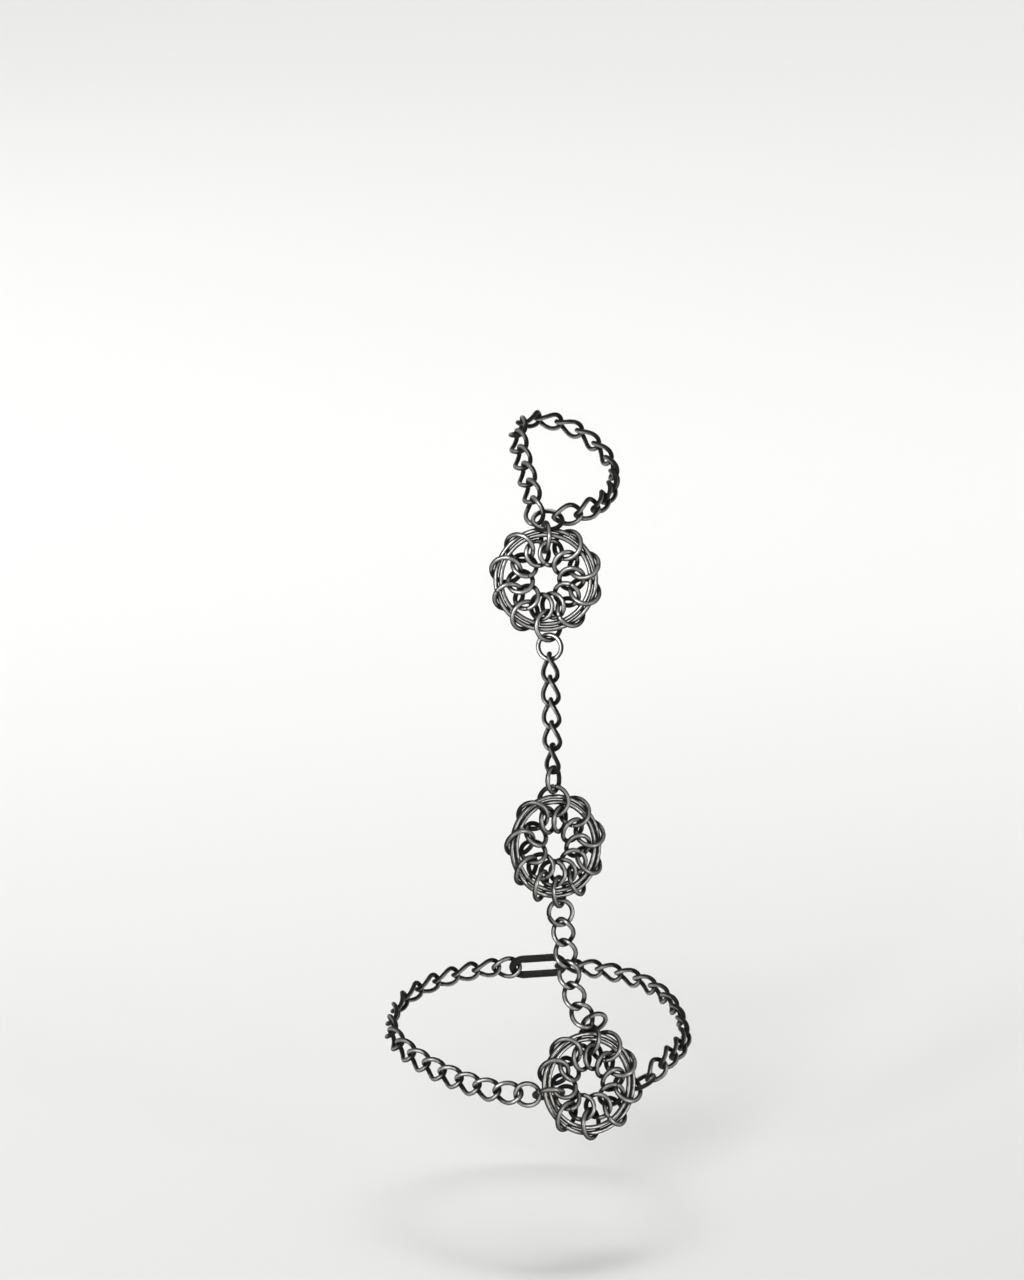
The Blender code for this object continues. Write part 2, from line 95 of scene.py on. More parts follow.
# The rosettes: each one's middle, how far its face leans back and how far it is turned to the right.
# A wrap ring's row gives the angle of its middle round the rosette, anticlockwise from the right, how
# far it is pulled out of the weave by what hangs on it, and its lean. Angles are in degrees.
ROSETTES = {
    "top": {
        "middle": (0.0010, -0.0010, 0.0865),
        "lean": 15,
        "turn": 0,
        "wraps": (
            (89, 0.0004, 0),
            (130, 0, RING_LEAN),
            (167, 0, RING_LEAN),
            (205, 0, RING_LEAN),
            (241, 0, RING_LEAN),
            (273, 0.0009, RING_LEAN),
            (307, 0, RING_LEAN),
            (343, 0, RING_LEAN),
            (380, 0, RING_LEAN),
            (417, 0, RING_LEAN),
        ),
    },
    "middle": {
        "middle": (0.0028, -0.0100, 0.0398),
        "lean": 18,
        "turn": 28,
        "wraps": (
            (92, 0.0009, 72),
            (131, 0, RING_LEAN),
            (177, 0, RING_LEAN),
            (216, 0, RING_LEAN),
            (248, 0, RING_LEAN),
            (275, 0.0007, RING_LEAN),
            (303, 0, RING_LEAN),
            (338, 0, RING_LEAN),
            (378, 0, RING_LEAN),
            (417, 0, RING_LEAN),
        ),
    },
    "bottom": {
        "middle": (0.0088, -0.0185, -0.0021),
        "lean": 20,
        "turn": 24,
        "wraps": (
            (86, 0.0004, 0),
            (130, 0, RING_LEAN),
            (162, 0, RING_LEAN),
            (192, 0.0014, 20),
            (234, 0, RING_LEAN),
            (274, 0, RING_LEAN),
            (313, 0, RING_LEAN),
            (354, 0.0005, RING_LEAN),
            (390, 0, RING_LEAN),
            (424, 0, RING_LEAN),
        ),
    },
}

# The jump rings that hang in a rosette's wrap ring: the rosette and the wrap ring's row in its table,
# then the pull's slant round the rosette, its bend away from the face, and the ring's roll about it
JUMP_RINGS = {
    "top_lower_jump_ring": ("top", 5, 0, 0, 25),
    "middle_upper_jump_ring": ("middle", 0, 0, 0, -10),
    "middle_lower_jump_ring": ("middle", 5, 0, 0, 0),
    "bottom_upper_jump_ring": ("bottom", 0, 0, -30, 15),
    "left_wrist_jump_ring": ("bottom", 3, 0, 35, -14),
    "right_wrist_jump_ring": ("bottom", 7, 28, 25, 84),
}

# The ring that joins the finger loop to the top rosette: its middle, and the way that it faces
FINGER_RING_AT = (0.0013, 0.0024, 0.0965)
FINGER_RING_FACES = (-0.26, -0.20, 0.96)
FINGER_RING_ALONG = (1, 0, 0.28)

# The chains, along points chosen on the photograph's strands. One that names a jump ring starts or ends
# in that ring. A chain's flat side faces away from the point given, and is rolled by so many degrees
# from there, with its first or last link rolled further where the clasp turns it.
CHAINS = {
    "finger_chain": {
        "points": (
            (-0.0007, 0.0029, 0.0957),
            (-0.0010, 0.0050, 0.0985),
            (-0.0022, 0.0099, 0.1019),
            (-0.0034, 0.0150, 0.1053),
            (-0.0040, 0.0198, 0.1080),
            (-0.0022, 0.0245, 0.1093),
            (0.0028, 0.0266, 0.1084),
            (0.0084, 0.0255, 0.1060),
            (0.0127, 0.0212, 0.1023),
            (0.0134, 0.0162, 0.0998),
            (0.0119, 0.0108, 0.0983),
            (0.0092, 0.0060, 0.0976),
            (0.0062, 0.0042, 0.0971),
            (0.0024, 0.0038, 0.0967),
        ),
        "faces_from": (0.0045, 0.0180, 0.1000),
        "roll": 0,
    },
    "upper_hand_chain": {
        "starts": "top_lower_jump_ring",
        "points": (),
        "ends": "middle_upper_jump_ring",
        "faces_from": (0.0020, 0.0500, 0.0600),
        "roll": 50,
    },
    "lower_hand_chain": {
        "starts": "middle_lower_jump_ring",
        "points": (
            (0.0046, -0.0138, 0.0210),
            (0.0059, -0.0153, 0.0140),
            (0.0073, -0.0158, 0.0105),
            (0.0088, -0.0163, 0.0078),
        ),
        "faces_from": (0.0040, 0.0500, 0.0100),
        "roll": 0,
    },
    "left_wrist_chain": {
        "starts": "left_wrist_jump_ring",
        "points": (
            (-0.0093, -0.0194, -0.0029),
            (-0.0127, -0.0172, -0.0028),
            (-0.0186, -0.0122, -0.0023),
            (-0.0244, -0.0058, -0.0011),
            (-0.0272, 0.0012, 0.0002),
            (-0.0252, 0.0105, 0.0020),
            (-0.0188, 0.0170, 0.0033),
            (-0.0102, 0.0209, 0.0041),
        ),
        "ends": "wrist_clasp",
        "faces_from": (0, 0, -0.0060),
        "roll": 0,
        "last_roll": -35,
    },
    "right_wrist_chain": {
        "starts": "wrist_clasp",
        "points": (
            (0.0102, 0.0209, 0.0041),
            (0.0188, 0.0170, 0.0033),
            (0.0243, 0.0100, 0.0020),
            (0.0268, 0.0005, -0.0004),
            (0.0250, -0.0054, -0.0012),
            (0.0221, -0.0103, -0.0016),
        ),
        "ends": "right_wrist_jump_ring",
        "faces_from": (0, 0, -0.0060),
        "roll": 0,
        "first_roll": 35,
    },
}

WRAP_RADIUS = (WRAP_BORE + WIRE) / 2
CENTRE_RADIUS = (CENTRE_BORE + WIRE) / 2
JUMP_RADIUS = (JUMP_BORE + WIRE) / 2
INNER_HOOP_RADIUS = (HOOP_BORE + WIRE) / 2
OUTER_HOOP_RADIUS = INNER_HOOP_RADIUS + WIRE + HOOP_GAP
SPACING = WIRE + CLEARANCE
FUSED_SPACING = WIRE - FUSE_DEPTH
LINK_REACH = (LINK_PITCH + WIRE) / 2
WRAP_MIDDLE = OUTER_HOOP_RADIUS + SPACING - WRAP_RADIUS

# Where each ring's seam lies, in degrees round it from its outermost point, chosen where the photograph
# shows one and spread elsewhere
SEAMS = {
    "top_inner_hoop": 262,
    "top_outer_hoop": 61,
    "middle_inner_hoop": 118,
    "middle_outer_hoop": 205,
    "bottom_inner_hoop": 222,
    "bottom_outer_hoop": 238,
}
SEAM_STEP_ROUND = 137.5

# How finely the round wires are swept: points round a loop, and sides round its wire
SETTLED_POINTS = 48
RING_POINTS, RING_WIRE_SIDES = 64, 14
HOOP_POINTS, HOOP_WIRE_SIDES = 144, 16
CENTRE_POINTS = 56
LINK_POINTS, LINK_WIRE_SIDES = 56, 12
CLASP_END_POINTS, CLASP_SIDE_PARTS, CLASP_ROUND_SIDES = 24, 2, 18

# The marks of bending: at a ring's seam, and the narrower wire at a link's joint
SEAM_WIDTH = 0.00004
SEAM_STEP = 0.00003
SEAM_DRAW_IN = 0.9
JOINT_DEPTH = 0.08
SHARP_ANGLE = 50

# How the black gathers on the steel, as real blackening and as painted shade near, beside and behind the
# wires, and how it wears
INWARDS_POWER = 0.5
FLANK_POWER = 0.75
PATINA_AND_SHADE_STRENGTH = 1.7
WEAR, WEAR_START = 0.8, -0.28
BLACK_POWER = 0.8
DULLEST_RING = 0.82
CLASP_TONE = 0.6
CLOUD_SCALE, PIT_SCALE = 700.0, 5200.0
PIT_ROUGHNESS, PIT_DEPTH = 0.12, 0.00002
EDGE_TINT = 0.12
SHADES = {"ring_steel": 1.0, "hoop_steel": 0.92, "chain_steel": 1.05, "clasp_steel": 1.0}

# The floor and the room
FLOOR_REACH = 6.0
FLOOR_ROUGHNESS = 0.75
ROOM_COLOUR = (1, 0.99, 0.97, 1)

# The lights: place, target, width, height, share of the light power, and spread in degrees
LIGHTS = {
    "main_light": ((-0.25, -0.85, 0.50), (0, 0, 0.05), 0.40, 0.25, 0.60, 180),
    "left_strip": ((-0.50, -0.62, 0.14), (0, 0, 0.05), 0.10, 0.34, 0.30, 180),
    "right_strip": ((0.60, -0.52, 0.14), (0, 0, 0.05), 0.06, 0.34, 0.14, 180),
    "back_light": ((-0.60, 0.95, 0.70), (0, 0, 0.05), 0.50, 0.35, 0.12, 180),
    "floor_light": ((0.0, 1.30, 1.70), (0, 1.30, 0), 3.60, 2.50, 2.3, 40),
}

# The camera, at the photograph's angle
CAMERA_AT = (-0.00494, -0.64843, 0.27328)
CAMERA_TILT = 73
CAMERA_LENS = 71.7
CAMERA_SENSOR = 24


class Loop:
    """A closed wire: its centre line about its middle, its turn, its place and whether it can settle.

    The painted shade and the blackening take the flanks from out, and how deep a wire lies in the weave from
    heart, its rosette's middle.
    """

    def __init__(
        self, line, turn, place, free=True, parts=SAMPLES_PER_SIDE, wire=WIRE, radius=None
    ):
        self.wire = wire
        self.turn = np.array(turn, float)
        self.place = np.array(place, float)
        self.free = free
        self.radius = radius
        self.out = self.turn[:, 2]
        self.heart = None
        self.reshape(line, parts)

    def reshape(self, line, parts):
        self.line = np.array(line, float)
        self.samples = split_sides(self.line, parts)
        self.reach = np.linalg.norm(self.line, axis=1).max()

    def sampled(self):
        return self.samples @ self.turn.T + self.place


def split_sides(line, parts):
    """Points along a closed line's sides, with this many to a side."""
    shares = np.arange(parts)[None, :, None] / parts
    ends = np.roll(line, -1, axis=0)
    return (line[:, None] * (1 - shares) + ends[:, None] * shares).reshape(-1, 3)


def circle(radius, sides):
    """A ring's centre line, its corners a little outside the circle that its sides average."""
    radius = radius * (math.pi / sides) / math.sin(math.pi / sides)
    angles = np.arange(sides) * 2 * math.pi / sides
    return np.stack([radius * np.cos(angles), radius * np.sin(angles), 0 * angles], axis=1)


def curb_line(sides=LINK_SIDES):
    """A curb link's centre line: a long oval along X, twisted about X so that links lie flat in a row."""
    angles = np.arange(sides) * 2 * math.pi / sides
    across = (LINK_WIDTH - WIRE) / 2 * np.sin(angles)
    twist = math.radians(LINK_TWIST) * np.cos(angles)
    return np.stack(
        [LINK_REACH * np.cos(angles), across * np.cos(twist), across * np.sin(twist)], axis=1
    )


def oval(length, width, end_sides):
    """A long loop with half-round ends along X, from the outside sizes of its centre line."""
    radius = width / 2
    angles = (np.arange(end_sides + 1) / end_sides - 0.5) * math.pi
    end = np.stack([radius * np.cos(angles), radius * np.sin(angles), 0 * angles], axis=1)
    right = end + [length / 2 - radius, 0, 0]
    return np.vstack([right, right * [-1, -1, 1]])


def axes(along, out):
    """A turn whose X is along and whose Z is as near to out as it can be."""
    along = np.array(along, float) / np.linalg.norm(along)
    out = np.array(out, float) - along * np.dot(out, along)
    out /= np.linalg.norm(out)
    return np.stack([along, np.cross(out, along), out], axis=1)


def rolled(turn, degrees):
    """The same turn, rolled about its own X."""
    angle = math.radians(degrees)
    about_x = [[1, 0, 0], [0, math.cos(angle), -math.sin(angle)], [0, math.sin(angle), math.cos(angle)]]
    return turn @ np.array(about_x)


def rosette_turn(rosette):
    """Columns to the right of the rosette's face, up it and out of it."""
    lean, turn = math.radians(rosette["lean"]), math.radians(rosette["turn"])
    up = np.array([0, math.sin(lean), math.cos(lean)])
    back = np.array([0, math.cos(lean), -math.sin(lean)])
    right = np.array([math.cos(turn), 0, 0]) + math.sin(turn) * back
    return np.stack([right, up, np.cross(right, up)], axis=1)


def ring_in_rosette(rosette, radius, degrees, distance, lean):
    """A ring whose plane holds the rosette's radius at this angle and leans from the face's normal."""
    face, angle, tilt = rosette_turn(rosette), math.radians(degrees), math.radians(lean)
    outwards = face @ np.array([math.cos(angle), math.sin(angle), 0])
    onwards = face @ np.array([-math.sin(angle), math.cos(angle), 0])
    across = math.cos(tilt) * face[:, 2] + math.sin(tilt) * onwards
    turn = np.stack([outwards, across, np.cross(outwards, across)], axis=1)
    place = np.array(rosette["middle"]) + distance * outwards
    loop = Loop(circle(radius, RING_SIDES), turn, place, radius=radius)
    loop.out = face[:, 2]
    loop.heart = np.array(rosette["middle"])
    return loop


def rosette_loops(name, rosette):
    """The rosette's two hoops, its wrap rings round them, and the centre rings that link the wrap rings."""
    loops = {}
    face = rosette_turn(rosette)
    for side, radius in (("outer", OUTER_HOOP_RADIUS), ("inner", INNER_HOOP_RADIUS)):
        line = circle(radius, HOOP_SIDES)
        loops[f"{name}_{side}_hoop"] = Loop(
            line, face, rosette["middle"], False, HOOP_SAMPLES_PER_SIDE, radius=radius
        )
    wraps = rosette["wraps"]
    for number, (degrees, pull, lean) in enumerate(wraps):
        wrap = ring_in_rosette(rosette, WRAP_RADIUS, degrees, WRAP_MIDDLE + pull, -lean)
        loops[f"{name}_wrap_ring_{number + 1:02d}"] = wrap
        following, next_pull, _ = wraps[(number + 1) % len(wraps)]
        ends = [
            (WRAP_MIDDLE + out - WRAP_RADIUS) * np.exp(1j * math.radians(angle))
            for angle, out in ((degrees, pull), (following, next_pull))
        ]
        middle = (ends[0] + ends[1]) / 2
        distance = abs(middle) + CENTRE_SHIFT
        centre = ring_in_rosette(
            rosette, CENTRE_RADIUS, math.degrees(np.angle(middle)), distance, CENTRE_LEAN
        )
        loops[f"{name}_centre_ring_{number + 1:02d}"] = centre
    return loops


def hung_ring(name):
    """A jump ring held by a rosette's wrap ring."""
    rosette_name, row, slant, bend, roll = JUMP_RINGS[name]
    rosette = ROSETTES[rosette_name]
    degrees, pull, _ = rosette["wraps"][row]
    face = rosette_turn(rosette)
    outwards, slanted = (
        face @ np.array([math.cos(math.radians(angle)), math.sin(math.radians(angle)), 0])
        for angle in (degrees, degrees + slant)
    )
    pulled = math.cos(math.radians(bend)) * slanted - math.sin(math.radians(bend)) * face[:, 2]
    held_at = WRAP_MIDDLE + pull + WRAP_RADIUS - SPACING
    place = rosette["middle"] + held_at * outwards + JUMP_RADIUS * pulled
    turn = rolled(axes(pulled, face[:, 2]), roll)
    return Loop(circle(JUMP_RADIUS, RING_SIDES), turn, place, radius=JUMP_RADIUS)


def smooth_route(points, steps=24):
    """Points along a smooth curve through the chosen ones."""
    points = np.array(points, float)
    ends = np.vstack([2 * points[0] - points[1], points, 2 * points[-1] - points[-2]])
    curve = []
    for a, b, c, d in zip(ends, ends[1:], ends[2:], ends[3:]):
        for t in np.arange(steps) / steps:
            square, cube = 2 * a - 5 * b + 4 * c - d, 3 * b - a - 3 * c + d
            curve.append(((2 * b) + (c - a) * t + square * t**2 + cube * t**3) / 2)
    return np.array(curve + [points[-1]])


def chain_links(route, chain):
    """Links in a row along a route, each with its flat side facing away from the chain's given point."""
    curve = smooth_route(route)
    lengths = np.concatenate([[0], np.cumsum(np.linalg.norm(np.diff(curve, axis=0), axis=1))])
    count = max(2, round((lengths[-1] - WIRE) / LINK_PITCH))
    pitch = (lengths[-1] - WIRE) / count
    stretch = (pitch + WIRE) / 2 / LINK_REACH
    line = curb_line() * [stretch, 1, 1]
    links = []
    for number in range(count):
        middle = stretch * LINK_REACH + number * pitch
        ends = [
            np.array([np.interp(middle + step, lengths, curve[:, axis]) for axis in range(3)])
            for step in (-pitch / 2, pitch / 2)
        ]
        place = (ends[0] + ends[1]) / 2
        roll = chain["roll"] + (
            chain.get("first_roll", 0) * (number == 0) + chain.get("last_roll", 0) * (number == count - 1)
        )
        turn = rolled(axes(ends[1] - ends[0], place - chain["faces_from"]), roll)
        link = Loop(line, turn, place, number in (0, count - 1))
        link.stretch = stretch
        links.append(link)
    return links


def hooked(ring, towards):
    """Where a link's end sits inside the ring when it pulls towards the given point."""
    pull = np.array(towards) - ring.place
    reach = ring.reach - (ring.wire + WIRE) / 2 - CLEARANCE
    if ring.wire > WIRE:
        pull *= [1, 0, 0]
        reach -= CLASP_SLACK
    return ring.place + reach * pull / np.linalg.norm(pull)


def chain_route(chain, loops):
    """The chain's points, with those where its end links hook into rings."""
    points = list(chain["points"])
    starts, ends = loops.get(chain.get("starts")), loops.get(chain.get("ends"))
    first = points[0] if points else ends.place
    last = points[-1] if points else starts.place
    if starts:
        points.insert(0, hooked(starts, first))
    if ends:
        points.append(hooked(ends, last))
    return points


def all_loops():
    """Every closed wire by name, and each chain's links as a list."""
    loops, chains = {}, {}
    for name, rosette in ROSETTES.items():
        loops.update(rosette_loops(name, rosette))
    for name in JUMP_RINGS:
        loops[name] = hung_ring(name)
    turn = axes(FINGER_RING_ALONG, FINGER_RING_FACES)
    loops["finger_ring"] = Loop(
        circle(WRAP_RADIUS, RING_SIDES), turn, FINGER_RING_AT, radius=WRAP_RADIUS
    )
    line = oval(CLASP_LENGTH - CLASP_WIRE, CLASP_WIDTH - CLASP_WIRE, CLASP_END_SIDES)
    turn = axes((1, 0, 0), np.array(CLASP_AT) - CHAINS["left_wrist_chain"]["faces_from"])
    loops["wrist_clasp"] = Loop(line, turn, CLASP_AT, True, 2 * SAMPLES_PER_SIDE, CLASP_WIRE)
    for name, chain in CHAINS.items():
        chains[name] = chain_links(chain_route(chain, loops), chain)
    return loops, chains


def near_pairs(loops):
    """Index pairs of loops close enough to touch, of which at least one can move."""
    pairs = []
    for first in range(len(loops)):
        for second in range(first + 1, len(loops)):
            a, b = loops[first], loops[second]
            apart = np.linalg.norm(a.place - b.place)
            if (a.free or b.free) and apart < a.reach + b.reach + 3 * WIRE:
                pairs.append((first, second))
    return pairs


def nearest_points(first, second):
    """The closest samples of each pair of sampled loops, as two arrays of points."""
    middle = first.mean(axis=1, keepdims=True)
    a, b = first - middle, second - middle
    squares = (a**2).sum(2)[:, :, None] + (b**2).sum(2)[:, None] - 2 * a @ b.transpose(0, 2, 1)
    chosen = squares.reshape(len(a), -1).argmin(1)
    rows = np.arange(len(a))
    return first[rows, chosen // b.shape[1]], second[rows, chosen % b.shape[1]]


def settle(loops, fused, rounds, clearance, fused_spacing):
    """Pushes the free rings towards their spacing, as woven rings find their places.

    It stops after the given rounds, so a few wires may stay slightly nearer. Pairs of fused loops are drawn
    to the distance given for them.
    """
    pairs = near_pairs(loops)
    batches = {}
    for pair in pairs:
        batches.setdefault(tuple(len(loops[i].samples) for i in pair), []).append(pair)
    batches = [np.array(batch) for batch in batches.values()]
    fusing = [np.array([tuple(pair) in fused for pair in batch.tolist()]) for batch in batches]
    wires = np.array([loop.wire for loop in loops])
    free = np.array([loop.free for loop in loops], float)
    radii = np.array([loop.reach for loop in loops])
    for _ in range(rounds):
        places = np.array([loop.place for loop in loops])
        sampled = [loop.sampled() for loop in loops]
        moves, spins, contacts = np.zeros((3, len(loops), 3))
        for batch, fuse in zip(batches, fusing):
            want = np.where(fuse, fused_spacing, wires[batch].mean(axis=1) + clearance)
            near_a, near_b = nearest_points(
                np.array([sampled[i] for i in batch[:, 0]]), np.array([sampled[i] for i in batch[:, 1]])
            )
            apart = near_a - near_b
            distance = np.linalg.norm(apart, axis=1)
            short = want - distance
            short[(short < 0) & ~fuse] = 0
            short[(short > 0) & (short < FUSE_SLACK) & fuse] = 0
            push = apart / distance[:, None]
            arms = [near - places[batch[:, k]] for k, near in enumerate((near_a, near_b))]
            levers = [np.cross(arm, push) for arm in arms]
            ease = sum(
                free[batch[:, k]] * (1 + 2 * (levers[k] ** 2).sum(1) / radii[batch[:, k]] ** 2)
                for k in (0, 1)
            )
            size = (short / ease)[:, None]
            for k, sign in ((0, 1), (1, -1)):
                index = batch[:, k]
                np.add.at(moves, index, sign * size * push)
                np.add.at(spins, index, sign * size * 2 * levers[k] / radii[index][:, None] ** 2)
                np.add.at(contacts, index, (short != 0)[:, None].astype(float))
        share = SETTLE_SPEED / np.maximum(contacts, 1)
        for loop, move, spin in zip(loops, moves * share, spins * share):
            if loop.free:
                loop.place = loop.place + move
                angle = np.linalg.norm(spin)
                if angle > 0:
                    turn = Matrix.Rotation(angle, 3, Vector(spin / angle))
                    loop.turn = np.array(turn) @ loop.turn


@functools.cache
def settled_loops():
    """Every loop and chain where its solid lies, with the round wires then eased apart."""
    loops, chains = all_loops()
    rows = [
        [loops[f"{name}_centre_ring_{number + 1:02d}"] for number in range(len(rosette["wraps"]))]
        for name, rosette in ROSETTES.items()
    ]
    pairs = [pair for row in rows for pair in zip(row, row[1:] + row[:1])]
    pairs += [pair for links in chains.values() for pair in (links[:2], links[-2:])]
    order = list(loops.values()) + [link for links in chains.values() for link in links]
    number = {id(loop): index for index, loop in enumerate(order)}
    fused = {tuple(sorted(number[id(loop)] for loop in pair)) for pair in pairs}
    settle(order, fused, SETTLE_ROUNDS, CLEARANCE, FUSED_SPACING)
    for loop in order:
        if loop.radius:
            loop.reshape(circle(loop.radius, SETTLED_POINTS), 1)
    for links in chains.values():
        for link in links:
            link.reshape(curb_line(SETTLED_POINTS) * [link.stretch, 1, 1], 1)
            link.out = link.turn[:, 2]
    settle(order, set(), EASE_ROUNDS, 0, 0)
    return loops, chains


def input_socket(tree, name, kind, default=None):
    socket = tree.interface.new_socket(name=name, in_out="INPUT", socket_type=kind)
    if default is not None:
        socket.default_value = default


class TreeMaker:
    """Builds a node tree by name: each call adds a node, sets its sockets and links what is a socket."""

    def __init__(self, tree):
        self.tree = tree
        self.column = 0

    def add(self, kind, settings=None, **sockets):
        node = self.tree.nodes.new(kind)
        node.location = (self.column * 190, -(len(self.tree.nodes) % 5) * 160)
        self.column += 1
        for name, value in (settings or {}).items():
            setattr(node, name, value)
        for name, value in sockets.items():
            self.put(node, name, value)
        return node

    def put(self, node, name, value):
        place = int(name[1:]) if name[0] == "_" and name[1:].isdigit() else name.replace("_", " ")
        socket = node.inputs[place]
        if isinstance(value, bpy.types.NodeSocket):
            self.tree.links.new(value, socket)
        else:
            socket.default_value = value

    def maths(self, operation, first, second=0.0, third=0.0):
        node = self.add("ShaderNodeMath", {"operation": operation}, _0=first, _1=second, _2=third)
        return node.outputs[0]


def swept_wire(maker, inputs, line, width, **caps):
    """Round wire along the line that a node gives, scaled by its width along the way."""
    section = maker.add(
        "GeometryNodeCurvePrimitiveCircle",
        Resolution=inputs["Sides"],
        Radius=maker.maths("MULTIPLY", inputs["Wire"], 0.5),
    )
    swept = maker.add(
        "GeometryNodeCurveToMesh",
        Curve=line.outputs["Geometry"],
        Profile_Curve=section.outputs["Curve"],
        Scale=width,
        **caps,
    )
    return swept.outputs["Mesh"]


def instance_rows(maker, inputs, wire_form):
    """Sets the swept wire on every point, turned by the point's two axes, as one real mesh."""
    add = maker.add
    along = add("GeometryNodeInputNamedAttribute", {"data_type": "FLOAT_VECTOR"}, Name="along")
    out = add("GeometryNodeInputNamedAttribute", {"data_type": "FLOAT_VECTOR"}, Name="out")
    turn = add(
        "FunctionNodeAxesToRotation",
        {"primary_axis": "Z", "secondary_axis": "X"},
        Primary_Axis=out.outputs["Attribute"],
        Secondary_Axis=along.outputs["Attribute"],
    )
    rows = add(
        "GeometryNodeInstanceOnPoints",
        Points=inputs["Places"],
        Instance=wire_form,
        Rotation=turn.outputs["Rotation"],
    )
    tone = add("FunctionNodeRandomValue", {"data_type": "FLOAT"}, Seed=inputs["Seed"])
    toned = add(
        "GeometryNodeStoreNamedAttribute",
        {"data_type": "FLOAT", "domain": "INSTANCE"},
        Geometry=rows.outputs["Instances"],
        Name="tone",
        Value=tone.outputs[1],
    )
    real = add("GeometryNodeRealizeInstances", Geometry=toned.outputs["Geometry"])
    smooth = add("GeometryNodeSetShadeSmooth", Geometry=real.outputs["Geometry"])
    metal = add(
        "GeometryNodeSetMaterial", Geometry=smooth.outputs["Geometry"], Material=inputs["Material"]
    )
    end = add("NodeGroupOutput")
    maker.tree.links.new(metal.outputs["Geometry"], end.inputs["Rings"])


def new_tree(name, sockets):
    """A geometry tree with named inputs, and the maker that fills it."""
    tree = bpy.data.node_groups.new(name, "GeometryNodeTree")
    tree.interface.new_socket(name="Rings", in_out="OUTPUT", socket_type="NodeSocketGeometry")
    input_socket(tree, "Places", "NodeSocketGeometry")
    for label, (kind, default) in sockets.items():
        input_socket(tree, label, kind, default)
    input_socket(tree, "Seed", "NodeSocketInt", 1)
    input_socket(tree, "Material", "NodeSocketMaterial")
    maker = TreeMaker(tree)
    return maker, maker.add("NodeGroupInput").outputs


@functools.cache
def ring_tree():
    """A round ring bent from wire, whose ends meet at a seam with a small step, on each point."""
    maker, inputs = new_tree(
        "wire rings",
        {
            "Ring Radius": ("NodeSocketFloat", WRAP_RADIUS),
            "Wire": ("NodeSocketFloat", WIRE),
            "Seam Width": ("NodeSocketFloat", SEAM_WIDTH),
            "Seam Step": ("NodeSocketFloat", SEAM_STEP),
            "Ends Drawn In": ("NodeSocketFloat", SEAM_DRAW_IN),
            "Points Round": ("NodeSocketInt", RING_POINTS),
            "Sides": ("NodeSocketInt", RING_WIRE_SIDES),
        },
    )
    add, maths = maker.add, maker.maths
    gap = maths("DIVIDE", inputs["Seam Width"], inputs["Ring Radius"])
    arc = add(
        "GeometryNodeCurveArc",
        {"mode": "RADIUS"},
        Resolution=inputs["Points Round"],
        Radius=inputs["Ring Radius"],
        Start_Angle=maths("MULTIPLY", gap, 0.5),
        Sweep_Angle=maths("SUBTRACT", 2 * math.pi, gap),
    )
    share = add("GeometryNodeSplineParameter").outputs["Factor"]
    rise = maths("MULTIPLY", maths("SUBTRACT", share, 0.5), inputs["Seam Step"])
    lifted = add("ShaderNodeCombineXYZ", Z=rise)
    coil = add("GeometryNodeSetPosition", Geometry=arc.outputs["Curve"], Offset=lifted.outputs[0])
    to_end = maths("MINIMUM", share, maths("SUBTRACT", 1.0, share))
    steps = maths("MULTIPLY", to_end, inputs["Points Round"])
    slope = maths("SUBTRACT", 1.0, inputs["Ends Drawn In"])
    full = maths("MINIMUM", maths("MULTIPLY_ADD", steps, slope, inputs["Ends Drawn In"]), 1.0)
    instance_rows(maker, inputs, swept_wire(maker, inputs, coil, full, Fill_Caps=True))
    return maker.tree


@functools.cache
def link_tree():
    """A curb link, a long oval twisted about its length, on each point."""
    maker, inputs = new_tree(
        "curb links",
        {
            "Link Reach": ("NodeSocketFloat", LINK_REACH),
            "Half Width": ("NodeSocketFloat", (LINK_WIDTH - WIRE) / 2),
            "Twist": ("NodeSocketFloat", math.radians(LINK_TWIST)),
            "Wire": ("NodeSocketFloat", WIRE),
            "Joint Depth": ("NodeSocketFloat", JOINT_DEPTH),
            "Points Round": ("NodeSocketInt", LINK_POINTS),
            "Sides": ("NodeSocketInt", LINK_WIRE_SIDES),
        },
    )
    add, maths = maker.add, maker.maths
    ring = add("GeometryNodeCurvePrimitiveCircle", Resolution=inputs["Points Round"], Radius=1.0)
    parts = add("ShaderNodeSeparateXYZ", Vector=add("GeometryNodeInputPosition").outputs[0])
    across = maths("MULTIPLY", parts.outputs["Y"], inputs["Half Width"])
    twist = maths("MULTIPLY", parts.outputs["X"], inputs["Twist"])
    bent = add(
        "ShaderNodeCombineXYZ",
        X=maths("MULTIPLY", parts.outputs["X"], inputs["Link Reach"]),
        Y=maths("MULTIPLY", across, maths("COSINE", twist)),
        Z=maths("MULTIPLY", across, maths("SINE", twist)),
    )
    link = add("GeometryNodeSetPosition", Geometry=ring.outputs["Curve"], Position=bent.outputs[0])
    share = add("GeometryNodeSplineParameter").outputs["Factor"]
    from_joint = maths("ABSOLUTE", maths("SUBTRACT", share, 0.25))
    steps = maths("MINIMUM", maths("MULTIPLY", from_joint, inputs["Points Round"]), 1.0)
    full = maths("SUBTRACT", 1.0, maths("MULTIPLY", maths("SUBTRACT", 1.0, steps), inputs["Joint Depth"]))
    instance_rows(maker, inputs, swept_wire(maker, inputs, link, full))
    return maker.tree


